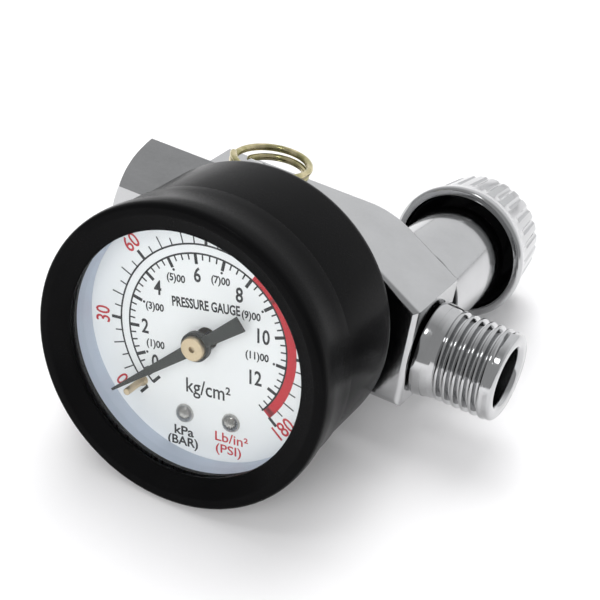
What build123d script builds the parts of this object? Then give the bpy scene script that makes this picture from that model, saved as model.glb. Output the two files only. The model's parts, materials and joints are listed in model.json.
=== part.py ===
"""In-line air pressure regulator with a back-mounted pressure gauge.

Millimetres.  The origin is on the axis of the male inlet thread, where the thread leaves its
shoulder.  +X points out of the inlet thread, the gauge faces -Y, the adjusting knob is at +Y
and +Z is up.
"""
from build123d import *
from math import atan2, cos, degrees, pi, radians, sin, sqrt
import os

# ---------------------------------------------------------------- driving dimensions
FIT = 0.05                    # radial clearance of a running fit

# G1/4 pipe thread, male at the inlet and female at the outlet
THREAD_R = 6.58               # crest radius of the male thread, root radius of the female one
THREAD_ROOT_R = 5.72          # root radius of the male thread, crest radius of the female one
THREAD_PITCH = 1.337
INLET_LENGTH = 9.0            # shoulder to tip
INLET_BORE_R = 4.27
INLET_BORE_END = -2.2
NIPPLE_SPIGOT_R = 4.2
NIPPLE_END = -5.2
OUTLET_Z = 6.0                # the outlet axis lies this far above the inlet axis
OUTLET_DEPTH = 10.0

# cast body
BODY_RIGHT = -3.4             # end face that carries the inlet collar
BODY_LEFT = -42.0
BODY_HALF = 7.0               # half thickness along Y
BODY_TOP = 14.7
BODY_BOTTOM = -7.0
FLANK_Z = 8.2                 # where the sloping flank meets the end face
HEX_END = -52.1
HEX_AF = 16.0
HEX_ROLL = 3.0                # degrees

# gauge, turned a little on its stem as it was tightened
GAUGE_X = -25.73
GAUGE_Z = 2.76
DIAL_ROLL = 9.8               # degrees, seen from the front, anticlockwise
DIAL_Y = -24.7                # face of the dial
FRONT_Y = -32.6               # foremost line of the bezel
BEZEL_R = 21.8
OPENING_R = 17.62
SEAM_Y = -23.2
CASE_BACK_Y = -9.4
LENS_Y = (-30.7, -29.3)
SCREW_SPOTS = ((-3.54, -12.09), (3.70, -11.79))     # dial screws, in the dial's own axes
STOP_PIN_SPOT = (-10.25, -8.67)
POINTER_REST = 215.5          # degrees in the dial's own axes, resting on the stop pin
POINTER_Y = -28.0

# movement
PINION_TEETH = 13
SECTOR_TEETH = 77             # teeth on the sector's full circle
GEAR_MODULE = 0.2
TAIL_ANGLE = 240.0
TAIL_LENGTH = 4.2
TIP_ANGLE = 205.0
TUBE_R = 13.6

# knob, bonnet and valve share one axis, parallel to the gauge axis
KNOB_X = -10.43
KNOB_Z = 2.76
KNOB_RIM_Y = 24.1
KNOB_END_Y = 35.2
KNOB_RIM_R = 10.46
KNOB_END_R = 8.75
KNOB_WALL = 1.35
FLUTES = 28
FLUTE_R = 0.62
FLUTE_Y = 27.8                # the flutes run from here to the knob's far end
BONNET_R = 7.6
BONNET_END_Y = 27.8
BONNET_BORE_R = 5.5
SCREW_R = 2.95
VALVE_CHAMBER_R = 3.4
OUTLET_CHAMBER_R = 5.0
PASSAGE_R = 1.4

# hanging ring
RING_X = -32.8
RING_R = 5.5
RING_WIRE_R = 0.52
RING_Y = 1.4
LUG_Z = 17.0

parts = {}


# ---------------------------------------------------------------- small tools
def along_y(radius, y0, y1, x=0.0, z=0.0):
    """A cylinder along Y from y0 to y1."""
    low = min(y0, y1)
    return Location((x, low, z), (-90, 0, 0)) * Cylinder(
        radius, abs(y1 - y0), align=(Align.CENTER, Align.CENTER, Align.MIN))


def along_x(radius, x0, x1, y=0.0, z=0.0):
    """A cylinder along X from x0 to x1."""
    low = min(x0, x1)
    return Location((low, y, z), (0, 90, 0)) * Cylinder(
        radius, abs(x1 - x0), align=(Align.CENTER, Align.CENTER, Align.MIN))


def outline(points, radii=None):
    """A face inside a closed outline, with the numbered corners rounded."""
    face = make_face(Polyline(*points, close=True))
    for index, radius in (radii or {}).items():
        corner = face.vertices().sort_by_distance((*points[index], 0))[0]
        face = fillet(corner, radius)
    return face


def turned_y(points, x, z, radii=None):
    """Revolve an outline of (radius, y) points about an axis along Y."""
    return Pos(x, 0, z) * revolve(outline(points, radii), Axis.Y)


def turned_x(points, y=0.0, z=0.0, radii=None):
    """Revolve an outline of (x, radius) points about an axis along X."""
    return Pos(0, y, z) * revolve(outline(points, radii), Axis.X)


def spot(radius, angle, x=GAUGE_X, z=GAUGE_Z):
    """A point at an angle, anticlockwise from +X as seen from the front."""
    return (x + radius * cos(radians(angle)), z + radius * sin(radians(angle)))


def on_dial(dial_x, dial_z):
    """A place on the dial, from the dial's own axes to the body's X and Z."""
    c, s = cos(radians(DIAL_ROLL)), sin(radians(DIAL_ROLL))
    return (GAUGE_X + dial_x * c - dial_z * s, GAUGE_Z + dial_x * s + dial_z * c)


def plate_xz(face, y0, y1):
    """Extrude a face drawn in X and Z (as x, y) between two Y planes."""
    low, high = min(y0, y1), max(y0, y1)
    return Location((0, high, 0), (90, 0, 0)) * extrude(face, high - low)


def coil_y(radius, wire, y0, y1, turns, x, z):
    """A closed-end compression spring along Y."""
    pitch = (y1 - y0 - 2 * wire) / turns
    path = Helix(pitch, pitch * turns, radius)
    start = Plane(path @ 0, z_dir=path % 0)
    spring = sweep(start * Circle(wire), path, is_frenet=True)
    return Location((x, y0 + wire, z), (-90, 0, 0)) * spring


# ---------------------------------------------------------------- threads
def thread_edge(x0, turns, crest_r, root_r):
    """Edge of a thread as (x, radius) points, from the crest centred on x0 to the last crest."""
    edge = []
    for k in range(turns):
        x = x0 + k * THREAD_PITCH
        edge += [(x + 0.17, crest_r), (x + 0.55, root_r), (x + 0.787, root_r),
                 (x + THREAD_PITCH - 0.17, crest_r)]
    return edge


def make_nipple():
    """Plated fitting with the male thread, its spigot fixed in the end face of the body."""
    edge = thread_edge(0, 6, THREAD_R, THREAD_ROOT_R)
    nipple = turned_x(
        [(NIPPLE_END, 0), (NIPPLE_END, NIPPLE_SPIGOT_R), (BODY_RIGHT, NIPPLE_SPIGOT_R),
         (BODY_RIGHT, 6.9), (-0.75, 6.75), (-0.5, THREAD_R), *edge,
         (6 * THREAD_PITCH + 0.17, THREAD_R), (INLET_LENGTH - 0.1, THREAD_ROOT_R),
         (INLET_LENGTH, THREAD_ROOT_R - 0.15), (INLET_LENGTH, 0)], radii={3: 0.3})
    nipple -= along_x(INLET_BORE_R, INLET_BORE_END, INLET_LENGTH + 1)
    nipple -= turned_x([(INLET_LENGTH - 0.5, 0), (INLET_LENGTH - 0.5, INLET_BORE_R),
                        (INLET_LENGTH + 0.1, INLET_BORE_R + 0.6), (INLET_LENGTH + 0.1, 0)])
    nipple -= along_x(3.0, NIPPLE_END - 1, INLET_LENGTH)
    parts["inlet_nipple"] = nipple


# ---------------------------------------------------------------- regulator body
def make_body():
    profile = outline(
        [(BODY_RIGHT, BODY_BOTTOM), (BODY_RIGHT, FLANK_Z), (-15.2, BODY_TOP),
         (BODY_LEFT, BODY_TOP), (BODY_LEFT, -3.2), (-33.0, BODY_BOTTOM)],
        {2: 14.0, 4: 1.5, 5: 8.0})
    block = plate_xz(profile, -BODY_HALF, BODY_HALF)
    long_edges = block.faces().sort_by(Axis.Y)[0].edges() + block.faces().sort_by(Axis.Y)[-1].edges()
    block = fillet(long_edges, 0.9)

    hexagon = Rot(0, 0, 30 + HEX_ROLL) * RegularPolygon(HEX_AF / 2, 6, major_radius=False)
    end_plane = Plane((HEX_END, 0, OUTLET_Z), x_dir=(0, 1, 0), z_dir=(1, 0, 0))
    prism = extrude(end_plane * hexagon, BODY_LEFT - HEX_END + 5)
    corner_r = HEX_AF / sqrt(3)
    envelope = turned_x(
        [(HEX_END, 0), (HEX_END, 8.0), (HEX_END + 0.8, corner_r + 0.1),
         (BODY_LEFT + 6, corner_r + 0.1), (BODY_LEFT + 6, 0)], z=OUTLET_Z)
    body = block + (prism & envelope)

    # eye that the hanging ring passes through
    lug_y = RING_Y - RING_R
    eye = along_x(2.5, RING_X - 1.0, RING_X + 1.0, lug_y, LUG_Z)
    foot = Pos(RING_X, lug_y, (BODY_TOP + LUG_Z) / 2 - 0.6) * Box(2.0, 4.2, LUG_Z - BODY_TOP + 1.2)
    body += eye + foot
    body -= along_x(1.5, RING_X - 2, RING_X + 2, lug_y, LUG_Z)

    # supply side: inlet bore, cross drilling and valve chamber
    body -= along_x(NIPPLE_SPIGOT_R, NIPPLE_END - 0.3, 0)
    body -= along_x(1.2, NIPPLE_END, KNOB_X + 2.4, y=-2.0, z=0.8)
    body -= along_y(VALVE_CHAMBER_R, -5.0, 0.0, KNOB_X, KNOB_Z)
    body -= along_y(3.95, -0.6, 1.0, KNOB_X, KNOB_Z)

    # regulated side: piston chamber, bonnet seat, passage, gauge port and outlet socket
    body -= along_y(OUTLET_CHAMBER_R, 0.8, BODY_HALF + 1, KNOB_X, KNOB_Z)
    body -= along_y(6.3, 4.6, BODY_HALF + 1, KNOB_X, KNOB_Z)
    body -= along_x(PASSAGE_R, KNOB_X - 4.4, BODY_LEFT + 3, y=2.6, z=KNOB_Z)
    body -= along_y(4.8, -BODY_HALF - 1, -0.8, GAUGE_X, GAUGE_Z)
    body -= along_y(1.0, -1.2, 2.6, GAUGE_X, GAUGE_Z)
    socket_end = HEX_END + OUTLET_DEPTH
    body -= along_x(4.5, socket_end - 0.1, socket_end + 2.0, z=OUTLET_Z)
    edge = thread_edge(HEX_END + 1.1, 6, THREAD_ROOT_R, THREAD_R)
    body -= turned_x(
        [(HEX_END - 0.1, 0), (HEX_END - 0.1, THREAD_R + 0.35), (HEX_END + 0.75, THREAD_ROOT_R), *edge,
         (socket_end, THREAD_ROOT_R), (socket_end, 0)], z=OUTLET_Z)
    return body


# ---------------------------------------------------------------- valve
def make_valve():
    parts["inlet_screen"] = along_x(4.2, INLET_BORE_END + 0.1, INLET_BORE_END + 0.7)
    holes = [(0, 0)] + [(1.5 * cos(k * pi / 3), 1.5 * sin(k * pi / 3)) for k in range(6)]
    holes += [(2.9 * cos(k * pi / 6), 2.9 * sin(k * pi / 6)) for k in range(12)]
    for y, z in holes:
        parts["inlet_screen"] -= along_x(0.45, INLET_BORE_END, INLET_BORE_END + 2, y, z)

    x, z = KNOB_X, KNOB_Z
    parts["valve_seat"] = turned_y(
        [(1.5, -0.6), (2.0, -0.6), (2.2, -0.3), (3.9, -0.3), (3.9, 0.9), (1.5, 0.9)], x, z)
    parts["poppet"] = turned_y(
        [(0, -4.2), (0.8, -4.2), (0.8, -2.0), (2.5, -2.0), (2.5, -1.3), (0.7, -1.3),
         (0.7, 5.6), (0, 5.6)], x, z)
    parts["poppet_washer"] = turned_y(
        [(0.7, -1.3), (2.3, -1.3), (2.3, -0.65), (0.7, -0.65)], x, z)
    parts["poppet_spring"] = coil_y(1.9, 0.2, -4.95, -2.05, 4, x, z)

    piston_r = BONNET_BORE_R - FIT
    parts["piston"] = turned_y(
        [(0, 5.7), (piston_r, 5.7), (piston_r, 6.9), (4.3, 6.9), (4.3, 8.3), (piston_r, 8.3),
         (piston_r, 9.6), (3.2, 9.6), (2.9, 11.2), (0, 11.2)], x, z)
    parts["piston_ring"] = turned_y(
        [(4.35, 7.0), (piston_r, 7.0), (piston_r, 8.2), (4.35, 8.2)], x, z, {1: 0.45, 2: 0.45})


# ---------------------------------------------------------------- bonnet, spring and knob
def make_bonnet():
    x, z = KNOB_X, KNOB_Z
    bore = BONNET_BORE_R
    parts["bonnet"] = turned_y(
        [(bore, 4.7), (6.25, 4.7), (6.25, 7.3), (BONNET_R, 7.3), (BONNET_R, 25.0), (5.6, 26.4),
         (5.0, BONNET_END_Y), (SCREW_R + FIT, BONNET_END_Y), (SCREW_R + FIT, 23.4), (bore, 23.4)],
        x, z, {4: 1.2, 6: 0.5})
    parts["bonnet_gasket"] = turned_y(
        [(6.3, 7.0), (BONNET_R - 0.25, 7.0), (BONNET_R - 0.25, 7.3), (6.3, 7.3)], x, z)
    parts["range_spring"] = coil_y(4.1, 0.55, 9.65, 19.0, 6, x, z)
    parts["spring_button"] = turned_y(
        [(0, 17.6), (2.7, 17.6), (3.0, 19.0), (5.1, 19.0), (5.1, 20.2), (0, 20.2)], x, z)
    parts["adjusting_screw"] = turned_y(
        [(0, 20.2), (2.0, 20.2), (SCREW_R, 21.1), (SCREW_R, 33.2), (2.0, 33.4), (0, 33.4)], x, z)


def make_knob():
    x, z = KNOB_X, KNOB_Z
    inner_end = KNOB_END_Y - 2.0
    knob = turned_y(
        [(SCREW_R, inner_end - 0.6), (4.6, inner_end - 0.6), (5.0, inner_end),
         (KNOB_END_R - KNOB_WALL, inner_end), (KNOB_RIM_R - 1.4, KNOB_RIM_Y),
         (KNOB_RIM_R, KNOB_RIM_Y), (KNOB_RIM_R, KNOB_RIM_Y + 1.3), (9.95, KNOB_RIM_Y + 2.2),
         (KNOB_END_R, KNOB_END_Y), (3.0, KNOB_END_Y), (3.0, KNOB_END_Y - 0.5),
         (1.3, KNOB_END_Y - 0.5), (1.3, 33.45), (SCREW_R, 33.45)],
        x, z, {4: 0.5, 5: 0.6, 6: 0.4, 8: 0.9})
    slope = (KNOB_END_R - 9.95) / (KNOB_END_Y - KNOB_RIM_Y - 2.2)
    start = Plane((FLUTE_R + 9.45, FLUTE_Y, 0), z_dir=(slope, 1, 0))
    cutter = start * Cylinder(FLUTE_R, 12, align=(Align.CENTER, Align.CENTER, Align.MIN))
    for k in range(FLUTES):
        knob -= Pos(x, 0, z) * Rot(0, 360 / FLUTES * k, 0) * cutter
    parts["adjusting_knob"] = knob
    parts["knob_screw"] = turned_y(
        [(0, 33.45), (1.25, 33.45), (1.25, KNOB_END_Y - 0.45), (2.6, KNOB_END_Y - 0.45),
         (2.2, KNOB_END_Y + 0.5), (0, KNOB_END_Y + 0.5)], x, z)
    parts["knob_screw"] -= Pos(x, KNOB_END_Y + 0.5, z) * Box(3.6, 0.8, 0.6)


# ---------------------------------------------------------------- gauge housing
def make_gauge_case():
    x, z = GAUGE_X, GAUGE_Z
    front, back = SEAM_Y, CASE_BACK_Y
    parts["gauge_case"] = turned_y(
        [(19.4, -29.2), (20.15, -29.2), (20.15, front + 0.05), (20.7, front + 0.05), (20.35, back),
         (5.3, back), (5.3, back - 1.0), (19.1, back - 1.0)],
        x, z, {4: 1.3, 7: 0.6})
    parts["bezel"] = turned_y(
        [(20.25, front), (21.0, front), (BEZEL_R, -30.6), (BEZEL_R, FRONT_Y), (20.4, FRONT_Y),
         (20.1, FRONT_Y + 0.5), (18.2, -31.35), (OPENING_R, -31.3), (OPENING_R, LENS_Y[0] - 0.05),
         (19.2, LENS_Y[0] - 0.05), (19.2, -29.3), (20.25, -29.3)],
        x, z, {3: 1.1, 4: 0.45})
    parts["lens"] = turned_y(
        [(0, LENS_Y[0]), (19.0, LENS_Y[0]), (19.0, LENS_Y[1]), (0, LENS_Y[1])], x, z)
    parts["lens_gasket"] = turned_y(
        [(18.1, LENS_Y[1]), (19.2, LENS_Y[1]), (19.2, -28.7), (18.1, -28.7)], x, z)
    parts["spacer_ring"] = turned_y(
        [(17.9, -28.7), (19.2, -28.7), (19.2, DIAL_Y), (17.6, DIAL_Y)], x, z)
    for k in (-1, 1):
        head = turned_y([(0, back), (1.6, back), (1.3, back + 0.9), (0, back + 0.9)], x + 9.0 * k, z)
        shank = along_y(0.8, back, back - 2.6, x + 9.0 * k, z)
        screw = head + shank - Pos(x + 9.0 * k, back + 0.9, z) * Box(3.4, 0.7, 0.5)
        parts["case_screws"] = screw if k < 0 else parts["case_screws"] + screw
        parts["gauge_case"] -= along_y(0.85, back + 1, back - 2, x + 9.0 * k, z)


# ---------------------------------------------------------------- dial
def make_dial():
    x, z = GAUGE_X, GAUGE_Z
    dial = along_y(19.1, DIAL_Y, DIAL_Y + 0.6, x, z) - along_y(1.6, DIAL_Y - 1, DIAL_Y + 1, x, z)
    screws = None
    for place in SCREW_SPOTS:
        sx, sz = on_dial(*place)
        dial -= along_y(0.65, DIAL_Y - 1, DIAL_Y + 1, sx, sz)
        screw = turned_y(
            [(0, DIAL_Y - 1.0), (0.75, DIAL_Y - 0.9), (1.25, DIAL_Y - 0.55), (1.45, DIAL_Y),
             (0.6, DIAL_Y), (0.6, DIAL_Y + 1.9), (0, DIAL_Y + 1.9)], sx, sz)
        screw -= plate_xz(Pos(sx, sz) * Rot(0, 0, 35) * Rectangle(2.4, 0.35), DIAL_Y - 1.2, DIAL_Y - 0.65)
        screws = screw if screws is None else screws + screw
    pin_x, pin_z = on_dial(*STOP_PIN_SPOT)
    dial -= along_y(0.5, DIAL_Y - 1, DIAL_Y + 1, pin_x, pin_z)
    parts["dial_plate"] = dial
    parts["dial_screws"] = screws
    parts["stop_pin"] = turned_y(
        [(0, DIAL_Y - 4.3), (0.25, DIAL_Y - 4.3), (0.5, DIAL_Y - 4.05), (0.5, DIAL_Y - 0.5),
         (0.8, DIAL_Y - 0.35), (0.8, DIAL_Y), (0.5, DIAL_Y), (0.5, DIAL_Y + 0.9), (0, DIAL_Y + 0.9)],
        pin_x, pin_z)


# ---------------------------------------------------------------- gauge movement
def gear_outline(teeth, first, count, pitch_r):
    """Outer edge of a run of straight-flanked teeth, as (x, y) points from the gear's centre."""
    tip_r = pitch_r + 0.75 * GEAR_MODULE
    root_r = pitch_r - 1.15 * GEAR_MODULE
    step = 360 / teeth
    points = []
    for k in range(count):
        centre = first + step * k
        for offset, radius in ((-0.31, root_r), (-0.10, tip_r), (0.10, tip_r), (0.31, root_r)):
            angle = radians(centre + offset * step)
            points.append((radius * cos(angle), radius * sin(angle)))
    return points


def make_movement():
    x, z = GAUGE_X, GAUGE_Z
    pinion_r = PINION_TEETH * GEAR_MODULE / 2
    sector_r = SECTOR_TEETH * GEAR_MODULE / 2
    pivot_z = z - pinion_r - sector_r
    posts = ((x + 6.6, z + 0.6), (x - 6.6, z + 0.6), (x + 5.2, pivot_z - 5.6), (x - 5.2, pivot_z - 5.6))

    stem = turned_y(
        [(0, -0.9), (4.75, -0.9), (4.75, -7.45), (5.2, -7.45), (5.2, -10.4), (8.0, -10.4),
         (8.0, -11.6), (0, -11.6)], x, z)
    collar = RegularPolygon(5.5, 6, major_radius=False)
    stem += plate_xz(Pos(x, z) * collar, -9.35, -7.45)
    arm = plate_xz(Pos(x, z - 8.6) * Rectangle(6.4, 13.4), -16.9, -11.6)
    stem += arm
    stem -= along_y(1.0, 0, -13.5, x, z)
    tube_slot = revolve(Pos(TUBE_R, -14.5) * RectangleRounded(1.9, 4.2, 0.9), Axis.Y, revolution_arc=20)
    stem -= Pos(x, 0, z) * Rot(0, 70, 0) * tube_slot
    parts["gauge_stem"] = stem
    parts["stem_washer"] = turned_y([(4.9, -7.4), (6.2, -7.4), (6.2, -7.0), (4.9, -7.0)], x, z)

    # C-shaped tube from the arm, round through +X and +Z, to its free end
    section = RectangleRounded(1.6, 3.9, 0.75) - RectangleRounded(1.1, 3.4, 0.5)
    sweep_angle = TIP_ANGLE + 82
    tube = revolve(Pos(TUBE_R, -14.5) * section, Axis.Y, revolution_arc=sweep_angle)
    parts["bourdon_tube"] = Pos(x, 0, z) * Rot(0, 360 - TIP_ANGLE, 0) * tube
    tip_x, tip_z = spot(TUBE_R, TIP_ANGLE + 3.4)
    tip = plate_xz(Pos(tip_x, tip_z) * Rot(0, 0, TIP_ANGLE) * Rectangle(2.2, 1.4), -16.8, -12.4)
    parts["tube_tip"] = tip + along_y(0.4, -16.8, -19.4, tip_x, tip_z)

    face = Pos(x, (z + 2.6 + pivot_z - 7.6) / 2) * RectangleRounded(16.4, z + 2.6 - pivot_z + 7.6, 1.5)
    for name, y0, y1, bush in (("movement_back_plate", -17.8, -17.0, 0.55),
                               ("movement_front_plate", -22.2, -21.4, 0.75)):
        plate = plate_xz(face, y0, y1)
        plate -= along_y(bush + FIT, y0 - 1, y1 + 1, x, z)
        plate -= along_y(0.5 + FIT, y0 - 1, y1 + 1, x, pivot_z)
        for px, pz in posts:
            plate -= along_y(0.6, y0 - 1, y1 + 1, px, pz)
        parts[name] = plate
    pillars = None
    for px, pz in posts:
        pillar = turned_y([(0, -22.2), (0.6, -22.2), (0.6, -21.4), (1.0, -21.4), (1.0, -17.8),
                           (0.6, -17.8), (0.6, -17.0), (0, -17.0)], px, pz)
        pillars = pillar if pillars is None else pillars + pillar
    parts["movement_pillars"] = pillars
    dial_posts = None
    for place in SCREW_SPOTS:
        sx, sz = on_dial(*place)
        foot = along_y(1.2, DIAL_Y + 0.6, -22.2, sx, sz) - along_y(0.62, DIAL_Y, -22.4, sx, sz)
        dial_posts = foot if dial_posts is None else dial_posts + foot
    parts["dial_posts"] = dial_posts

    make_gears(x, z, pivot_z, pinion_r, sector_r)
    make_link(x, pivot_z, tip_x, tip_z)
    make_pointer(x, z)


def make_gears(x, z, pivot_z, pinion_r, sector_r):
    # a gap of the pinion faces the sector at rest, and a tooth of the sector stands in it
    teeth = gear_outline(PINION_TEETH, 270 + 180 / PINION_TEETH, PINION_TEETH, pinion_r)
    pinion = plate_xz(Pos(x, z) * make_face(Polyline(*teeth, close=True)), -20.6, -19.0)
    pinion += along_y(0.5, -17.0, -19.0, x, z) + along_y(0.7, -20.6, POINTER_Y + 0.7, x, z)
    parts["pinion_shaft"] = pinion

    step = 360 / SECTOR_TEETH
    first, count = 90 - 10 * step, 12
    teeth = gear_outline(SECTOR_TEETH, first, count, sector_r)
    rim_r = sector_r - 2.0
    end = first + step * count
    rim = [(rim_r * cos(radians(a)), rim_r * sin(radians(a))) for a in (end, (end + first) / 2, first)]
    sector = plate_xz(Pos(x, pivot_z) * make_face(Polyline(*teeth, *rim, close=True)), -20.2, -19.4)
    for angle in (first + 8, end - 12):
        spoke = Pos(x, pivot_z) * Rot(0, 0, angle) * Pos(rim_r / 2 + 0.2, 0) * Rectangle(rim_r + 0.4, 1.0)
        sector += plate_xz(spoke, -20.2, -19.4)
    tail = Pos(x, pivot_z) * Rot(0, 0, TAIL_ANGLE) * Pos(TAIL_LENGTH / 2, 0) * Rectangle(TAIL_LENGTH, 1.4)
    sector += plate_xz(tail, -20.2, -19.4)
    tail_x, tail_z = spot(TAIL_LENGTH, TAIL_ANGLE, x, pivot_z)
    sector += along_y(0.7, -20.2, -19.4, tail_x, tail_z) + along_y(1.3, -20.6, -18.0, x, pivot_z)
    sector += along_y(0.5, -22.2, -17.0, x, pivot_z)
    sector += along_y(0.35, -19.4, -18.2, tail_x, tail_z)
    parts["sector_gear"] = sector

    spiral = Polyline(*[
        ((1.0 + 2.6 * k / 96) * cos(k * pi / 16), (1.0 + 2.6 * k / 96) * sin(k * pi / 16))
        for k in range(97)])
    hair = offset(spiral, 0.07, kind=Kind.ARC)
    parts["hairspring"] = plate_xz(Pos(x, z) * make_face(hair), -21.2, -20.8)


def make_link(x, pivot_z, tip_x, tip_z):
    tail_x, tail_z = spot(TAIL_LENGTH, TAIL_ANGLE, x, pivot_z)
    span = sqrt((tip_x - tail_x) ** 2 + (tip_z - tail_z) ** 2)
    angle = degrees(atan2(tip_z - tail_z, tip_x - tail_x))
    middle = Pos((tip_x + tail_x) / 2, (tip_z + tail_z) / 2)
    link = plate_xz(middle * Rot(0, 0, angle) * SlotCenterToCenter(span, 1.6), -19.1, -18.4)
    link += along_y(1.25, -19.1, -18.4, tip_x, tip_z)
    link -= along_y(0.35 + FIT, -20, -18, tail_x, tail_z)
    link -= along_y(0.8, -20, -18, tip_x, tip_z)
    parts["link"] = link


def make_pointer(x, z):
    angle = POINTER_REST + DIAL_ROLL
    blade = outline([(16.3, -0.17), (16.3, 0.17), (2.0, 0.85), (-2.0, 0.75), (-8.5, 1.12),
                     (-8.5, -1.12), (-2.0, -0.75), (2.0, -0.85)])
    pointer = plate_xz(Pos(x, z) * Rot(0, 0, angle) * blade, POINTER_Y, POINTER_Y + 0.35)
    pointer += along_y(2.1, POINTER_Y, POINTER_Y + 0.9, x, z)
    pointer -= along_y(0.7, POINTER_Y - 1, POINTER_Y + 2, x, z)
    parts["pointer"] = pointer
    parts["pointer_hub"] = turned_y(
        [(0, POINTER_Y - 0.35), (0.45, POINTER_Y - 0.35), (0.45, POINTER_Y - 0.75),
         (1.6, POINTER_Y - 0.75), (1.75, POINTER_Y - 0.6), (1.75, POINTER_Y), (0.7, POINTER_Y),
         (0.7, POINTER_Y + 0.7), (0, POINTER_Y + 0.7)], x, z)


# ---------------------------------------------------------------- hanging ring
def make_ring():
    turns, rise = 1.92, 1.12
    path = Helix(rise, rise * turns, RING_R)
    start = Plane(path @ 0, z_dir=path % 0)
    wire = sweep(start * Circle(RING_WIRE_R), path, is_frenet=True)
    for end in (path @ 0, path @ 1):
        wire += Pos(end) * Sphere(RING_WIRE_R)
    parts["hanging_ring"] = Pos(RING_X, RING_Y, LUG_Z - rise * turns / 2) * Rot(0, 0, 75) * wire


def build():
    os.makedirs("parts", exist_ok=True)
    parts["regulator_body"] = make_body()
    make_nipple()
    make_valve()
    make_bonnet()
    make_knob()
    make_gauge_case()
    make_dial()
    make_movement()
    make_ring()
    for name, shape in parts.items():
        export_step(shape, f"parts/{name}.step")


build()
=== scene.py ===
# %% [markdown]
# # An in-line air pressure regulator
# The frame holds the true sizes, the axes of the joints and every inner piece. This script keeps
# the cast body as it is, gives each surface its finish, and remakes the round, fluted and threaded
# pieces with finer meshes. Lengths below are in millimetres until they become mesh points.

# %% Load the frame
import json
from math import cos, degrees, pi, radians, sin, tau

import bmesh
import bpy
from mathutils import Matrix, Vector


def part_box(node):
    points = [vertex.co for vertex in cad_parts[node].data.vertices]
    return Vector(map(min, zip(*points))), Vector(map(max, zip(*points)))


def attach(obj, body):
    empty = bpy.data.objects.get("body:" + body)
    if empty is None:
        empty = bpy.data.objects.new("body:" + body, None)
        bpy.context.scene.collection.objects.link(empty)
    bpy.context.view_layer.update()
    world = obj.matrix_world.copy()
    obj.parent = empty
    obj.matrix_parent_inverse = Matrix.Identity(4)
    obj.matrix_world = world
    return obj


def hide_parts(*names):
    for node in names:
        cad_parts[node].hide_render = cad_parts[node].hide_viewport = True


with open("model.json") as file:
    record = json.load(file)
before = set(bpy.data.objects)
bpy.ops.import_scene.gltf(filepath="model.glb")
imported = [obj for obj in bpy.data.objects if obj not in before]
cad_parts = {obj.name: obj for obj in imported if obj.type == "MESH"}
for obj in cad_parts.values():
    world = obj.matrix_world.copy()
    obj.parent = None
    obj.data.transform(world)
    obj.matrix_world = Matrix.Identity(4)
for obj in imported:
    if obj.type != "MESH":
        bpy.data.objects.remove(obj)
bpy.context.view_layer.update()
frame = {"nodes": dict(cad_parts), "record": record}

MM = 0.001

# %% [markdown]
# ## Where things are
# Each place comes from the box of a node. The gauge and the knob turn about axes along Y, so the
# middle of a round node's box gives the X and Z of its axis.

# %% Read the driving sizes from the frame
def span(node):
    """Lowest and highest corner of a node, in millimetres."""
    low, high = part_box(node)
    return Vector(low) / MM, Vector(high) / MM


def axis_of(node):
    """X and Z of the axis of a round node that lies along Y."""
    low, high = span(node)
    return (low.x + high.x) / 2, (low.z + high.z) / 2


GAUGE = axis_of("bezel")
KNOB = axis_of("bonnet")
DIAL_Y = span("dial_plate")[0].y
FRONT_Y, SEAM_Y = span("bezel")[0].y, span("bezel")[1].y
BACK_Y = span("gauge_case")[1].y
FLOOR_Z = span("bezel")[0].z
DIAL_ROLL = radians(9.8)
THREAD_R, THREAD_ROOT, THREAD_PITCH = 6.58, 5.72, 1.337
print("gauge axis", GAUGE, "knob axis", KNOB, "gauge depth", round(BACK_Y - FRONT_Y, 2))

# %% [markdown]
# ## Writing materials as sums
# A wire is the output of a node. Adding or multiplying wires adds Math nodes, so a pattern reads
# like a formula. Every other node comes from one method, which takes its type, its settings and
# the values or wires of its sockets.

# %% A wire, and a finish that holds the nodes of one material
class Wire:
    """The output of a node, with the sums that the finishes need."""

    def __init__(self, finish, socket):
        self.finish = finish
        self.socket = socket

    def maths(self, operation, first, second):
        return self.finish.node("ShaderNodeMath", {"operation": operation}, {0: first, 1: second})

    def __add__(self, other):
        return self.maths("ADD", self, other)

    def __radd__(self, other):
        return self.maths("ADD", other, self)

    def __sub__(self, other):
        return self.maths("SUBTRACT", self, other)

    def __rsub__(self, other):
        return self.maths("SUBTRACT", other, self)

    def __mul__(self, other):
        return self.maths("MULTIPLY", self, other)

    def __rmul__(self, other):
        return self.maths("MULTIPLY", other, self)


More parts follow.
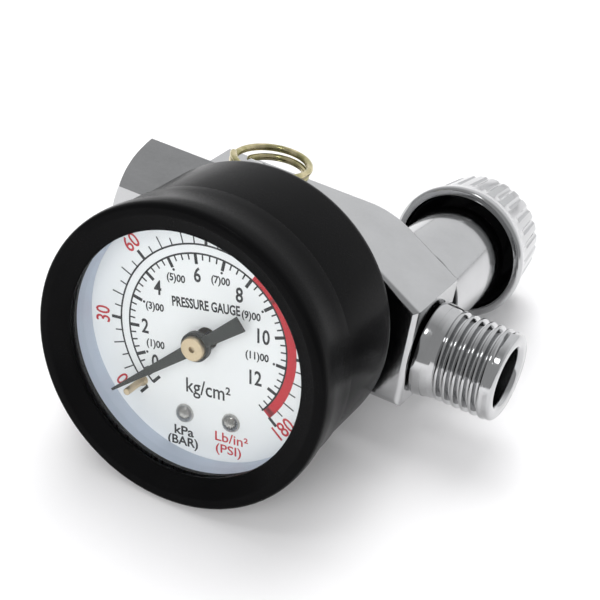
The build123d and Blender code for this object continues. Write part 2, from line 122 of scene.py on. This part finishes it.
class Finish:
    """One material: a Principled shader and the nodes that feed it."""

    def __init__(self, name):
        self.material = bpy.data.materials.new(name)
        self.material.use_nodes = True
        self.tree = self.material.node_tree
        self.shader = self.tree.nodes["Principled BSDF"]

    def node(self, kind, settings=None, values=None, out=0):
        made = self.tree.nodes.new(kind)
        for key, value in (settings or {}).items():
            setattr(made, key, value)
        for key, value in (values or {}).items():
            self.feed(made.inputs[key], value)
        return Wire(self, made.outputs[out])

    def feed(self, socket, value):
        if isinstance(value, Wire):
            self.tree.links.new(value.socket, socket)
        else:
            socket.default_value = value

    def noise(self, size, detail=2.0, stretch=(1, 1, 1)):
        """Cloudy values from 0 to 1, with blotches about size millimetres across."""
        place = self.node("ShaderNodeTexCoord", out="Object")
        scale = [part / (size * MM) for part in stretch]
        place = self.node("ShaderNodeVectorMath", {"operation": "MULTIPLY"}, {0: place, 1: scale})
        return self.node("ShaderNodeTexNoise", {}, {"Vector": place, "Scale": 1.0, "Detail": detail})

    def colours(self, value, first, second, low=0.3, high=0.7):
        """A colour that goes from first to second as value goes from low to high."""
        ramp = self.node("ShaderNodeValToRGB", {}, {"Fac": value})
        stops = ramp.socket.node.color_ramp.elements
        for stop, place, colour in ((stops[0], low, first), (stops[1], high, second)):
            stop.position = place
            stop.color = (*colour, 1)
        return ramp

    def bump(self, height, depth, strength=1.0):
        """Surface relief: height from 0 to 1 stands for depth millimetres."""
        return self.node("ShaderNodeBump", {}, {
            "Strength": strength, "Distance": depth * MM, "Height": height})

    def set(self, **sockets):
        for key, value in sockets.items():
            self.feed(self.shader.inputs[key.replace("_", " ")], value)
        return self


FINISHES = {}
print("tools for finishes ready")

# %% [markdown]
# ## Metal
# Chrome plate reflects a little over half of the light. Over a die casting it is bright but never
# flat: the casting ripples under it, so a straight reflection comes back with a ragged edge. A low,
# broad bump does that, and fine noise in the roughness stands for polishing marks and fingerprints.
# A plain chrome without ripple would look like a mirror ball, so every plated piece gets some.

# %% Chrome, and the other bare metals
def metal(name, colour, worn, ripple, ripple_size, rough=(0.06, 0.16), stretch=(1, 1, 1)):
    finish = Finish(name)
    cloud = finish.noise(7.0, 3.0)
    marks = finish.noise(0.3, 4.0, stretch)
    waves = finish.noise(ripple_size, 2.5, stretch) + 0.15 * finish.noise(0.45, 2.0, stretch)
    finish.set(
        Base_Color=finish.colours(0.7 * cloud + 0.3 * marks, worn, colour),
        Metallic=1.0,
        Roughness=(0.5 * cloud + 0.5 * marks) * (rough[1] - rough[0]) * 1.6 + rough[0],
        Normal=finish.bump(waves, ripple, 0.9))
    FINISHES[name] = finish.material
    return finish


CHROME = (0.530, 0.533, 0.540)
CHROME_WORN = (0.470, 0.474, 0.478)
metal("plated_body", CHROME, CHROME_WORN, 0.05, 3.4)
metal("plated_trim", CHROME, CHROME_WORN, 0.012, 3.0, (0.05, 0.13))
metal("brass", (0.70, 0.58, 0.40), (0.52, 0.40, 0.25), 0.006, 0.8, (0.22, 0.36))
metal("bronze", (0.55, 0.36, 0.19), (0.38, 0.24, 0.12), 0.01, 1.2, (0.25, 0.40))
metal("steel", (0.56, 0.55, 0.53), (0.40, 0.39, 0.37), 0.006, 0.9, (0.18, 0.32))
metal("spring_steel", (0.42, 0.41, 0.40), (0.28, 0.27, 0.26), 0.006, 0.9, (0.22, 0.38))
print("metals:", list(FINISHES))

# %% [markdown]
# Passivated zinc is a thin yellow skin over bright zinc. Its colour drifts with its thickness, from
# straw to a faint green, along the wire.

# %% Yellow zinc
def yellow_zinc():
    finish = metal("yellow_zinc", (0.72, 0.60, 0.33), (0.42, 0.40, 0.19), 0.002, 1.5, (0.10, 0.22))
    drift = finish.noise(2.2, 3.0)
    straw = finish.colours(drift, (0.36, 0.34, 0.16), (0.72, 0.63, 0.40), 0.35, 0.65)
    finish.set(Base_Color=straw)


yellow_zinc()

# %% [markdown]
# ## Lacquer, print and plastic
# The gauge's steel case has black enamel, baked on: nearly glossy, with the faint orange peel of
# sprayed paint and a thin scatter of dust. The dial is matt white lacquer on a metal disc. Rubber,
# fibre and moulded plastic are dull, with a fine grain.

# %% Coated and moulded finishes
def coated(name, colour, second, rough, peel, peel_size, specular=0.5, coat=0.0):
    finish = Finish(name)
    cloud = finish.noise(6.0, 4.0)
    grain = finish.noise(0.18, 3.0)
    finish.set(
        Base_Color=finish.colours(0.6 * cloud + 0.4 * grain, second, colour),
        Roughness=(0.4 * cloud + 0.6 * grain) * (rough[1] - rough[0]) * 1.6 + rough[0],
        Specular_IOR_Level=specular,
        Coat_Weight=coat,
        Normal=finish.bump(finish.noise(peel_size, 2.0) + 0.3 * grain, peel, 0.8))
    FINISHES[name] = finish.material
    return finish


coated("black_case", (0.0045, 0.0045, 0.0048), (0.0030, 0.0030, 0.0032), (0.16, 0.28), 0.004, 0.7, 0.03)
coated("dial_white", (0.86, 0.865, 0.87), (0.83, 0.84, 0.85), (0.42, 0.55), 0.002, 0.5, 0.3)
coated("white_ring", (0.56, 0.62, 0.72), (0.50, 0.56, 0.67), (0.35, 0.50), 0.004, 0.6, 0.4)
coated("black_pointer", (0.022, 0.026, 0.024), (0.014, 0.017, 0.016), (0.38, 0.52), 0.003, 0.4, 0.4)
coated("rubber", (0.020, 0.020, 0.021), (0.012, 0.012, 0.013), (0.62, 0.80), 0.01, 0.4)
coated("fibre", (0.30, 0.055, 0.035), (0.22, 0.040, 0.026), (0.70, 0.85), 0.02, 0.5)
# The knob_inside finish is painted shade: the hollow inside the knob's skirt, round the bonnet, is coloured
# near black where the plated surface would only lie in shade.
coated("knob_inside", (0.010, 0.010, 0.011), (0.006, 0.006, 0.007), (0.35, 0.55), 0.01, 0.9, 0.25)
coated("print_black", (0.020, 0.022, 0.024), (0.012, 0.013, 0.015), (0.45, 0.60), 0.002, 0.2, 0.3)
coated("print_red", (0.56, 0.016, 0.030), (0.48, 0.012, 0.022), (0.45, 0.60), 0.002, 0.2, 0.3)
print("finishes:", len(FINISHES))

# %% [markdown]
# Window glass is mostly see-through. Fresnel's law says how much of the light it throws back at
# each angle, so it mixes a clear shader with a mirror. Refraction would move the dial by a hair and
# cost many more samples. A faint haze of dust keeps the glass from vanishing.

# %% Glass
def glass():
    finish = Finish("clear_lens")
    fresnel = finish.node("ShaderNodeFresnel", {}, {"IOR": 1.45})
    dust = finish.noise(5.0, 5.0) * 0.006
    clear = finish.node("ShaderNodeBsdfTransparent", {}, {"Color": (0.985, 0.992, 0.99, 1)})
    shine = finish.node("ShaderNodeBsdfGlossy", {}, {"Color": (1, 1, 1, 1), "Roughness": 0.02})
    mixed = finish.node("ShaderNodeMixShader", {}, {0: fresnel * 0.22 + dust, 1: clear, 2: shine})
    finish.feed(finish.tree.nodes["Material Output"].inputs["Surface"], mixed)
    FINISHES["clear_lens"] = finish.material


glass()

# %% [markdown]
# ## Every node of the frame gets its finish
# The record names a material slot for each node. The inner pieces are hidden at rest, but they show
# in a cut or through the bores, so they are finished too.

# %% Finish the frame's own nodes
for row in frame["record"]["subparts"]:
    node = frame["nodes"][row["node"]]
    for slot in node.material_slots:
        slot.material = FINISHES[row["material_slot"]]

# %% [markdown]
# ## Round pieces
# A lathe piece is one profile turned about an axis. Here the profile may change with the angle, so
# the same function makes the plain rings, the fluted knob and the screw thread. Where columns meet
# the axis, or meet each other after a full turn, doubled points are merged, which leaves one closed
# skin. A revolve of the frame's tool would do the same shapes, but its flats would show in a gloss.

# %% Turn a profile about an axis
def solid(name, points, faces, finish, body, stands_for=(), sharp=32, marks=None):
    """A closed mesh from points in millimetres. marks picks the finish of each face from a list."""
    mesh = bpy.data.meshes.new(name)
    work = bmesh.new()
    corners = [work.verts.new(Vector(point) * MM) for point in points]
    for k, face in enumerate(faces):
        made = work.faces.new([corners[i] for i in face])
        made.material_index = marks[k] if marks else 0
    bmesh.ops.remove_doubles(work, verts=work.verts, dist=0.0004 * MM)
    bmesh.ops.dissolve_degenerate(work, edges=work.edges, dist=0.0003 * MM)
    bmesh.ops.recalc_face_normals(work, faces=work.faces)
    work.to_mesh(mesh)
    work.free()
    for used in finish if isinstance(finish, (list, tuple)) else [finish]:
        mesh.materials.append(FINISHES[used])
    mesh.shade_smooth()
    mesh.set_sharp_from_angle(angle=radians(sharp))
    piece = bpy.data.objects.new(name, mesh)
    bpy.context.collection.objects.link(piece)
    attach(piece, body)
    if stands_for:
        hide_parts(*stands_for)
    return piece


def turned(name, column, centre, finish, body, stands_for=(), axis="Y", steps=192, dark=()):
    """column(angle) gives the closed profile there, as (distance along the axis, radius) pairs."""
    points, faces, marks = [], [], []
    for step in range(steps + 1):
        angle = tau * step / steps
        for along, radius in column(angle):
            a, b = centre[0] + radius * cos(angle), centre[1] + radius * sin(angle)
            points.append((a, along, b) if axis == "Y" else (along, a, b))
    count = len(points) // (steps + 1)
    for step in range(steps):
        for i in range(count):
            j = (i + 1) % count
            faces.append((step * count + i, step * count + j, (step + 1) * count + j, (step + 1) * count + i))
            marks.append(1 if i in dark else 0)
    return solid(name, points, faces, finish, body, stands_for, marks=marks)


def eased(corners, steps=6):
    """A profile with its corners rounded. A corner is (along, radius) or (along, radius, rounding)."""
    profile = []
    for i, corner in enumerate(corners):
        point = Vector(corner[:2])
        before, after = Vector(corners[i - 1][:2]), Vector(corners[(i + 1) % len(corners)][:2])
        reach = corner[2] if len(corner) > 2 else 0
        if not reach:
            profile.append(tuple(point))
            continue
        start = point + (before - point).normalized() * min(reach, (before - point).length * 0.49)
        end = point + (after - point).normalized() * min(reach, (after - point).length * 0.49)
        for k in range(steps + 1):
            t = k / steps
            profile.append(tuple(start * (1 - t) ** 2 + point * (2 * t * (1 - t)) + end * t ** 2))
    return profile


print("lathe ready")

# %% [markdown]
# ## The gauge's housing
# The case is a drawn steel cup with a rounded back edge. The bezel is a second, shallow cup pressed
# over it, so a thin step runs round where its skirt ends. Its front is rolled into a lip; inside the
# lip a flat band goes in to the opening, a little below the lip's crest.

# %% Bezel, case, glass and the white ring under the glass
lens_front, lens_back = span("lens")[0].y, span("lens")[1].y
BEZEL_R = (span("bezel")[1].x - span("bezel")[0].x) / 2
lip = BEZEL_R - 1.55
bezel = eased([
    (SEAM_Y, 20.25), (SEAM_Y, 21.0, 0.12), (SEAM_Y - 3.4, 21.15, 3.0), (FRONT_Y + 2.3, BEZEL_R, 1.2),
    (FRONT_Y, BEZEL_R, 1.5), (FRONT_Y, lip, 0.25), (-31.45, 17.95, 0.3),
    (-31.2, 17.62, 0.14), (lens_front - 0.02, 17.62), (lens_front - 0.02, 19.2), (lens_back, 19.2),
    (lens_back, 20.25)], 8)
turned("bezel_rolled", lambda angle: bezel, GAUGE, "black_case", "regulator",
       ["bezel"], steps=256)

case = eased([
    (-29.2, 19.4), (-29.2, 20.15), (SEAM_Y + 0.05, 20.15), (SEAM_Y + 0.05, 20.72, 0.12), (BACK_Y, 20.4, 1.7),
    (BACK_Y, 5.3), (BACK_Y - 1.0, 5.3), (BACK_Y - 1.0, 19.1, 0.6)], 8)
turned("case_drawn", lambda angle: case, GAUGE, "black_case", "regulator",
       ["gauge_case"], steps=256)

lens = eased([(lens_front, 0), (lens_front, 19.0, 0.15), (lens_back, 19.0, 0.15), (lens_back, 0)])
turned("glass", lambda angle: lens, GAUGE, "clear_lens", "regulator", ["lens"], steps=128)

ring = eased([
    (lens_back + 0.6, 18.1, 0.15), (lens_back + 0.6, 19.2), (DIAL_Y, 19.2), (DIAL_Y, 18.25, 0.1),
    (DIAL_Y - 0.9, 18.3, 0.3)])
turned("inner_ring", lambda angle: ring, GAUGE, "white_ring", "regulator", ["spacer_ring"])
print("bezel radius", round(BEZEL_R, 2), "lip radius", round(lip, 2))

# %% [markdown]
# ## Bonnet and knob
# The bonnet is turned and plated; its far end is chamfered, and the knob hides it. The knob's skirt
# flares to a rim, and the flutes run from behind the rim to the far end, each a shallow scoop.
# Cutting 28 grooves with Booleans would leave ragged ends; here the radius simply dips.

# %% Bonnet and fluted knob
bonnet_end = span("bonnet")[1].y
bonnet = eased([
    (4.7, 5.5), (4.7, 6.25), (7.3, 6.25), (7.3, 7.6, 0.35), (25.0, 7.6, 1.6), (26.4, 5.6, 0.4),
    (bonnet_end, 5.0, 0.4), (bonnet_end, 3.0), (23.4, 3.0), (23.4, 5.5)])
turned("bonnet_turned", lambda angle: bonnet, KNOB, "plated_trim", "regulator",
       ["bonnet"], steps=224)

RIM_Y, KNOB_END = span("adjusting_knob")[0].y, span("adjusting_knob")[1].y
RIM_R = (span("adjusting_knob")[1].x - span("adjusting_knob")[0].x) / 2
FLUTES = 28
knob = eased([
    (33.45, 2.95), (KNOB_END - 2.6, 2.95), (KNOB_END - 2.6, 4.6), (KNOB_END - 2.0, 5.0),
    (KNOB_END - 2.0, 7.4, 0.6),
    (RIM_Y + 0.9, RIM_R - 1.75, 0.3), (RIM_Y, RIM_R - 1.25, 0.25), (RIM_Y, RIM_R - 0.35, 0.3),
    (RIM_Y + 0.5, RIM_R, 0.45), (RIM_Y + 1.7, 10.25, 0.7), (RIM_Y + 2.3, 9.95, 0.5), (RIM_Y + 4.4, 9.66, 0.4),
    (RIM_Y + 6.5, 9.38), (KNOB_END, 8.75, 1.1), (KNOB_END, 3.2, 0.3), (KNOB_END - 0.5, 2.9),
    (KNOB_END - 0.5, 1.3), (33.45, 1.3)])


def fluted(angle):
    across = (angle * FLUTES / tau) % 1 - 0.5
    scoop = max(0.0, 1 - (across / 0.24) ** 2)
    profile = []
    for along, radius in knob:
        shown = min(1.0, max(0.0, (along - RIM_Y - 2.9) / 1.6))
        depth = 0.26 * scoop * shown if radius > 7.8 and along > RIM_Y + 2 else 0
        profile.append((along, radius - depth))
    return profile


# Painted shade: the faces inside the skirt take the near-black knob_inside finish instead of chrome, because
# that hollow lies in shade.
inside = [i for i, (along, radius) in enumerate(knob) if radius < RIM_R - 1.5 and along < KNOB_END - 1.9]
turned("knob_fluted", fluted, KNOB, ["plated_trim", "knob_inside"], "knob",
       ["adjusting_knob"], steps=FLUTES * 16, dark=inside[:-1])
print("flutes:", FLUTES, "rim radius", round(RIM_R, 2))

# %% [markdown]
# ## The threaded inlet
# One turn of thread is a short profile over one pitch. A column at some angle starts that fraction
# of a pitch further along, so neighbouring columns join into a true right-handed helix. Limits at
# the shoulder and at the nose clip the thread, which gives the run-out and the lead-in chamfer.

# %% Collar, helical thread, nose and bore
LENGTH = span("inlet_nipple")[1].x
END_FACE = -3.4
TURN = [(0.17, THREAD_R - 0.02), (0.24, THREAD_R - 0.07), (0.52, THREAD_ROOT + 0.04), (0.60, THREAD_ROOT),
        (0.74, THREAD_ROOT), (0.82, THREAD_ROOT + 0.04), (1.10, THREAD_R - 0.07), (1.17, THREAD_R - 0.02),
        (1.25, THREAD_R), (THREAD_PITCH + 0.09, THREAD_R)]


def threaded(angle):
    shift = THREAD_PITCH * angle / tau
    column = [(-5.2, 4.2), (END_FACE, 4.2)]
    column += eased([(END_FACE, 6.9), (-2.6, 6.95, 0.3), (-1.2, 6.75, 0.5)])[1:]
    for turn in range(-2, 9):
        for place, radius in TURN:
            along = min(max(turn * THREAD_PITCH + place + shift, -0.75), LENGTH - 0.05)
            lip = min(6.42, 5.7 + max(0.0, along - (LENGTH - 1.45)) * 4)
            nose = 6.42 - max(0.0, along - (LENGTH - 0.42)) ** 2 * 2.4 if along > LENGTH - 0.9 else THREAD_R
            shoulder = 6.62 - max(0.0, along + 0.75) * 0.62
            column.append((along, max(min(max(radius, lip), nose), shoulder)))
    column += eased([(LENGTH, 6.0), (LENGTH, 4.75, 0.3), (LENGTH - 0.5, 4.3, 0.3), (-2.2, 4.27), (-2.2, 3.0),
                     (-5.2, 3.0)], 4)
    return column


turned("inlet_thread", threaded, (0, 0), "plated_trim", "regulator", ["inlet_nipple"],
       axis="X", steps=160)
print("thread turns:", round(LENGTH / THREAD_PITCH, 1))

# %% [markdown]
# ## The hanging ring
# The ring is a length of wire wound almost twice round, like a key ring that has been pulled open:
# the upper turn lies nearly flat, and the lower one drops away towards its free end. A tube follows
# the wire's line, with a rounded end at both cuts.

# %% Wire ring
RING_LOW, RING_HIGH = span("hanging_ring")
WIRE_R = 0.52
RING_R = (RING_HIGH.x - RING_LOW.x) / 2 - WIRE_R
RING = Vector((RING_LOW.x + RING_HIGH.x, RING_LOW.y + RING_HIGH.y, RING_LOW.z + RING_HIGH.z)) / 2


def wire_line(count=150, turns=1.86, start=155.0):
    line = []
    bottom, top = RING_LOW.z + WIRE_R, RING_HIGH.z - WIRE_R
    for k in range(count + 1):
        t = k / count
        angle = radians(start - 360 * turns * t)
        reach = RING_R * (1 - 0.14 * max(0.0, 1 - 3 * t))
        height = bottom + (top - bottom) * t ** 0.8
        line.append(Vector((RING.x + reach * cos(angle), RING.y + reach * sin(angle), height)))
    return line


def tube(line, radius, sides=20, cap=5):
    """Points and faces of a round tube along a line, its ends domed."""
    ways = [(line[min(k + 1, len(line) - 1)] - line[max(k - 1, 0)]).normalized() for k in range(len(line))]
    rings = []
    for k in range(cap):
        turn = pi / 2 * k / cap
        rings.append((line[0] - ways[0] * radius * cos(turn), ways[0], radius * sin(turn)))
    rings += [(place, way, radius) for place, way in zip(line, ways)]
    for k in reversed(range(cap)):
        turn = pi / 2 * k / cap
        rings.append((line[-1] + ways[-1] * radius * cos(turn), ways[-1], radius * sin(turn)))
    points, faces = [], []
    for place, way, reach in rings:
        side = way.cross(Vector((0, 0, 1))).normalized()
        up = side.cross(way)
        for s in range(sides):
            points.append(place + (side * cos(tau * s / sides) + up * sin(tau * s / sides)) * reach)
    for k in range(len(rings) - 1):
        for s in range(sides):
            n = (s + 1) % sides
            faces.append((k * sides + s, k * sides + n, (k + 1) * sides + n, (k + 1) * sides + s))
    return points, faces


points, faces = tube(wire_line(), WIRE_R)
solid("ring_wire", points, faces, "yellow_zinc", "ring", ["hanging_ring"], sharp=60)
print("ring radius", round(RING_R, 2), "at", [round(v, 1) for v in RING])

# %% [markdown]
# ## Screws and stop pin
# The dial's two screws are domed, and the stop pin is a headed peg that the pointer rests on. Each
# is one skin with eased edges. The pointer and its hub are flat or turned pieces that the frame
# already holds, so they only take a finish.

# %% Small turned pieces on the dial
def on_dial(right, up, lift=0.0):
    """A place in the dial's own axes, lift millimetres in front of its face."""
    return Vector((
        GAUGE[0] + right * cos(DIAL_ROLL) - up * sin(DIAL_ROLL), DIAL_Y - lift,
        GAUGE[1] + right * sin(DIAL_ROLL) + up * cos(DIAL_ROLL)))


def joined(shapes):
    """One list of points and faces from several."""
    points, faces = [], []
    for more, rings in shapes:
        base = len(points)
        points += more
        faces += [tuple(base + i for i in ring) for ring in rings]
    return points, faces


def lathe(profile, centre, steps=48):
    """Points and faces of a small lathe piece whose profile is the same all round."""
    points = [(centre[0] + r * cos(tau * k / steps), y, centre[1] + r * sin(tau * k / steps))
              for k in range(steps) for y, r in profile]
    count = len(profile)
    faces = [(k * count + i, k * count + (i + 1) % count, (k + 1) % steps * count + (i + 1) % count,
              (k + 1) % steps * count + i) for k in range(steps) for i in range(count)]
    return points, faces


dome = [(-1.10 * cos(t), 1.36 * sin(t)) for t in [radians(12 * k) for k in range(8)]]
screw = eased([(DIAL_Y + y, r) for y, r in dome] + [
    (DIAL_Y - 0.06, 1.36), (DIAL_Y + 0.02, 1.30), (DIAL_Y + 0.02, 0.6),
    (DIAL_Y + 1.9, 0.6), (DIAL_Y + 1.9, 0)])
spots = [on_dial(-3.54, -12.09), on_dial(3.70, -11.79)]
points, faces = joined([lathe(screw, (spot.x, spot.z)) for spot in spots])
solid("dial_screw_domes", points, faces, "steel", "regulator", ["dial_screws"], sharp=60)

pin_low, pin_high = span("stop_pin")
pin = eased([
    (pin_low.y, 0), (pin_low.y, 0.5, 0.16), (DIAL_Y - 0.55, 0.5, 0.1), (DIAL_Y - 0.40, 0.8, 0.1),
    (DIAL_Y, 0.8), (DIAL_Y, 0.5), (pin_high.y, 0.5), (pin_high.y, 0)])
points, faces = lathe(pin, axis_of("stop_pin"))
solid("stop_peg", points, faces, "brass", "regulator", ["stop_pin"], sharp=60)
print("stop pin stands", round(DIAL_Y - pin_low.y, 2), "proud of the dial")

# %% [markdown]
# ## The dial's print
# Ink stands a hair above the lacquer, so each mark is a thin closed slab. The inner scale counts
# kg/cm2 and the outer one psi, both over the same arc of 270 degrees; the red band begins at 8. The
# marks are generic ones that such gauges share. Printing them as an image would need a texture, and
# real edges stay sharp at any distance.

# %% Ticks, arcs and the red band
INK = 0.03
DOT_R = 0.19
SCALE_START = 225                  # degrees, where both scales read zero
KG_STEP, PSI_STEP = 21.17, 1.5     # degrees for one unit
black, red = [], []


def at_angle(degrees_up, radius):
    return radius * cos(radians(degrees_up)), radius * sin(radians(degrees_up))


def slab(outline):
    """A thin prism over a closed outline in the dial's axes."""
    count = len(outline)
    points = [on_dial(x, z, lift) for lift in (0.0, INK) for x, z in outline]
    faces = [tuple(range(count)), tuple(range(2 * count - 1, count - 1, -1))]
    return points, faces + [(i, (i + 1) % count, count + (i + 1) % count, count + i) for i in range(count)]


def tick(angle, inner, outer, width):
    x0, z0 = at_angle(angle, inner)
    x1, z1 = at_angle(angle, outer)
    x, z = at_angle(angle + 90, width / 2)
    return slab([(x0 - x, z0 - z), (x1 - x, z1 - z), (x1 + x, z1 + z), (x0 + x, z0 + z)])


def arc(radius, width, first, last):
    """An arc as short slabs, laid end to end so that each face stays flat and simple."""
    steps = max(2, int(abs(last - first) / 3))
    cuts = [first + (last - first) * k / steps for k in range(steps + 1)]
    return [slab([at_angle(a, radius - width / 2), at_angle(a, radius + width / 2),
                  at_angle(b, radius + width / 2), at_angle(b, radius - width / 2)])
            for a, b in zip(cuts, cuts[1:])]


for quarter in range(52):
    angle = SCALE_START - KG_STEP * quarter / 4
    if quarter % 4 == 0:
        black.append(tick(angle, 10.62, 12.2, 0.46))
    else:
        black.append(tick(angle, 11.25, 12.2, 0.21))
    if quarter % 8 == 4:
        x, z = at_angle(angle, 10.3)
        turns = [tau * k / 10 for k in range(10)]
        black.append(slab([(x + DOT_R * cos(t), z + DOT_R * sin(t)) for t in turns]))
for five in range(37):
    angle = SCALE_START - PSI_STEP * 5 * five
    if five % 6 == 0:
        black.append(tick(angle, 13.42, 15.0, 0.44))
    else:
        black.append(tick(angle, 13.42, 15.25 if five % 2 == 0 else 14.55, 0.18))
band = SCALE_START - KG_STEP * 8
black += arc(12.14, 0.25, SCALE_START, -46) + arc(13.47, 0.25, SCALE_START, band)
red += arc(12.92, 1.32, band, -45)
print("marks:", len(black), "black,", len(red), "red")

# %% [markdown]
# Numbers and words are text curves in Blender's own font, narrowed, and turned into the same thin
# slabs. Real dials mix two faces; here one serves for both.

# %% Numbers and words
def letters(text, right, up, height, narrow=0.72, turn=0.0, bold=0.0):
    """Points and faces of a line of text, centred on a place, height millimetres tall."""
    curve = bpy.data.curves.new("line", "FONT")
    curve.body, curve.size, curve.resolution_u = text, 1.0, 3
    curve.align_x, curve.align_y = "CENTER", "CENTER"
    curve.extrude, curve.offset = 0.05, bold
    holder = bpy.data.objects.new("line", curve)
    bpy.context.collection.objects.link(holder)
    made = holder.evaluated_get(bpy.context.evaluated_depsgraph_get()).to_mesh()
    flat = [vertex.co.copy() for vertex in made.vertices]
    middle = (max(p.y for p in flat) + min(p.y for p in flat)) / 2
    tall = height / 0.70
    c, s = cos(radians(turn)), sin(radians(turn))
    points = []
    for p in flat:
        x, y = p.x * tall * narrow, (p.y - middle) * tall
        points.append(on_dial(right + x * c - y * s, up + x * s + y * c, INK if p.z > 0 else 0.0))
    faces = [tuple(polygon.vertices) for polygon in made.polygons]
    bpy.data.objects.remove(holder)
    return points, faces


KG_NUMBERS = {0: (-8.2, -5.4), 2: (-9.68, -0.33), 4: (-7.55, 5.85), 6: (-1.38, 9.01), 8: (5.0, 7.45),
              10: (8.44, 2.2), 12: (7.25, -4.12)}
for value, (x, z) in KG_NUMBERS.items():
    black.append(letters(str(value), x, z, 2.08, 0.78, 0, 0.018))
KPA_NUMBERS = {1: (-8.1, -2.85), 3: (-8.1, 2.75), 5: (-4.7, 7.7), 7: (2.15, 8.75), 9: (6.75, 4.7),
               11: (7.65, -1.0)}
for value, (x, z) in KPA_NUMBERS.items():
    black.append(letters(f"({value})00", x, z, 1.05, 0.90, 0, 0.024))
RED_ASIDE = {0: (-13.6, -9.3), 180: (11.6, -10.8)}
for value in range(0, 181, 30):
    angle = SCALE_START - PSI_STEP * value
    x, z = at_angle(angle, 16.45)
    if value in RED_ASIDE:
        x, z = RED_ASIDE[value]
    red.append(letters(str(value), x, z, 2.2, 0.80, angle - 90 if angle > 0 else angle + 90, 0.008))
black.append(letters("PRESSURE GAUGE", -0.15, 4.75, 1.38, 0.67, 4.0, 0.026))
black.append(letters("kg/cm²", 0.1, -8.0, 2.15, 0.85, 0, 0.008))
black.append(letters("kPa", -3.8, -14.95, 1.35, 1.15, 0, 0.020))
black.append(letters("(BAR)", -3.95, -16.75, 1.32, 1.06, 0, 0.020))
red.append(letters("Lb/in²", 3.69, -14.35, 1.4, 1.15, 0, 0.008))
red.append(letters("(PSI)", 3.25, -16.35, 1.32, 1.2, 0, 0.008))

for name, shapes in (("dial_print_black", black), ("dial_print_red", red)):
    points, faces = joined(shapes)
    solid(name, points, faces, name.replace("dial_", ""), "regulator", sharp=30)
print("print ready")

# %% [markdown]
# ## Floor, light and camera
# The regulator lies on the rim of its gauge and the rim of its knob, so the floor slopes a little in
# the frame's axes. A white room all round, as in a light tent, gives chrome its even grey. A broad
# lamp adds the shadow, and a small one the sharp glints on edges. The camera stands in front, a
# little right and well above, with a long lens.

# %% Floor under the two points of rest
bpy.context.scene.view_settings.view_transform = "Standard"
front_rest, back_rest = Vector((FRONT_Y + 2.0, FLOOR_Z)), Vector((RIM_Y + 0.8, KNOB[1] - RIM_R))
slope = (back_rest.y - front_rest.y) / (back_rest.x - front_rest.x)
wide = 1600
mesh = bpy.data.meshes.new("floor")
mesh.from_pydata([Vector((x * wide, y * wide, FLOOR_Z - 0.05 + slope * (y * wide - front_rest.x))) * MM
                  for x, y in ((-1, -1), (1, -1), (1, 1), (-1, 1))], [], [(0, 1, 2, 3)])
floor_piece = bpy.data.objects.new("floor", mesh)
bpy.context.collection.objects.link(floor_piece)
paper = Finish("paper")
speck = paper.noise(30.0, 3.0)
paper.set(
    Base_Color=paper.colours(speck, (0.90, 0.895, 0.90), (0.93, 0.925, 0.93)),
    Roughness=0.9, Specular_IOR_Level=0.0)
under = paper.node("ShaderNodeNewGeometry", out=6)
clear = paper.node("ShaderNodeBsdfTransparent")
sheet = paper.node("ShaderNodeMixShader", {}, {0: under, 1: Wire(paper, paper.shader.outputs[0]), 2: clear})
paper.feed(paper.tree.nodes["Material Output"].inputs["Surface"], sheet)
mesh.materials.append(paper.material)
print("floor slope", round(degrees(slope), 1), "degrees")

# %% World and lamps
world = bpy.data.worlds.new("tent")
world.use_nodes = True
tree = world.node_tree
place = tree.nodes.new("ShaderNodeTexCoord")
parts = tree.nodes.new("ShaderNodeSeparateXYZ")
walls = tree.nodes.new("ShaderNodeMapRange")
for key, value in {"From Min": -0.15, "From Max": 0.6, "To Min": 0.42, "To Max": 0.98}.items():
    walls.inputs[key].default_value = value
tree.links.new(place.outputs["Generated"], parts.inputs[0])
tree.links.new(parts.outputs["Y"], walls.inputs["Value"])
tree.links.new(walls.outputs[0], tree.nodes["Background"].inputs["Strength"])
tree.nodes["Background"].inputs["Color"].default_value = (0.985, 0.99, 1.0, 1)
bpy.context.scene.world = world


def lamp(name, place, aim, size, power, seen=True):
    light = bpy.data.lights.new(name, "AREA")
    light.shape, light.size, light.size_y = "RECTANGLE", size[0] * MM, size[1] * MM
    light.energy = power
    holder = bpy.data.objects.new(name, light)
    holder.location = Vector(place) * MM
    holder.rotation_euler = (Vector(place) - Vector(aim)).to_track_quat("Z", "Y").to_euler()
    holder.visible_glossy = seen
    bpy.context.collection.objects.link(holder)


lamp("broad_top_back", (-160, 140, 520), (-20, 0, 0), (420, 420), 2.2, False)
lamp("dial_front", (60, -420, 160), (-20, -10, 0), (300, 300), 1.2, False)
lamp("glint_front", (-60, -190, 330), (-20, -10, 0), (70, 70), 0.10)

# %% Camera
eye = Vector((75.61, -234.23, 137.82))
aim = Vector((-18.0, -14.0, 7.4))
ahead = (aim - eye).normalized()
level = ahead.cross(Vector((-sin(DIAL_ROLL), 0, cos(DIAL_ROLL)))).normalized()
up = level.cross(ahead)
tilt = radians(0.7)
level, up = level * cos(tilt) + up * sin(tilt), up * cos(tilt) - level * sin(tilt)
view = bpy.data.cameras.new("view")
view.lens, view.sensor_width, view.clip_start, view.clip_end = 120.55, 36, 0.01, 10
camera = bpy.data.objects.new("view", view)
turn = Matrix((level, up, -ahead)).transposed()
camera.matrix_world = Matrix.Translation(eye * MM) @ turn.to_4x4()
bpy.context.collection.objects.link(camera)
bpy.context.scene.camera = camera
print("camera stands", round((aim - eye).length), "mm away")
